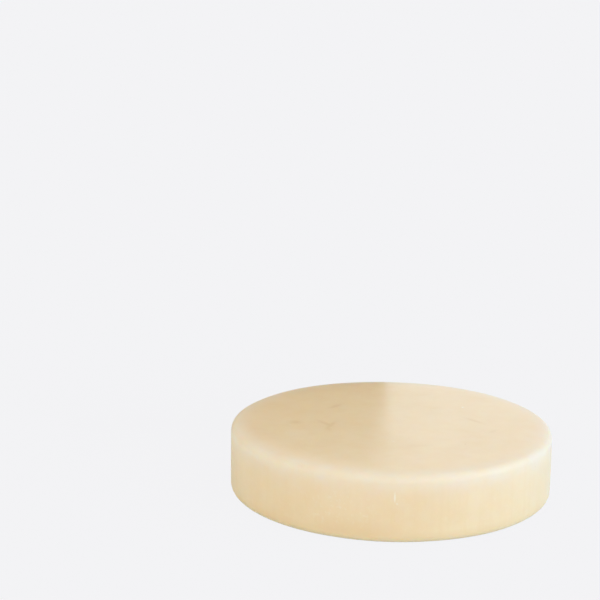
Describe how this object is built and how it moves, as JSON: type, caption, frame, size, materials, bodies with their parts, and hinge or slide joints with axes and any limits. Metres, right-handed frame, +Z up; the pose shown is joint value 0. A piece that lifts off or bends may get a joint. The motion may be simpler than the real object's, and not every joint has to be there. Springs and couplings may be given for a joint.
{
  "type": "shaving soap puck",
  "caption": "Round puck of hard shaving soap with two flat faces, a straight wall and soft rounded rims, sized to drop into a shaving bowl or tin.",
  "frame": {"origin": "centre of the flat base face that the puck rests on", "axes": "+Z up along the puck's round axis, through its thickness; X and Y lie in the base face and are interchangeable"},
  "size_m": [0.082, 0.082, 0.0175],
  "materials": {
    "shaving_soap": "satin"
  },
  "bodies": {
    "root": {"soap_puck": "shaving_soap"}
  },
  "joints": []
}
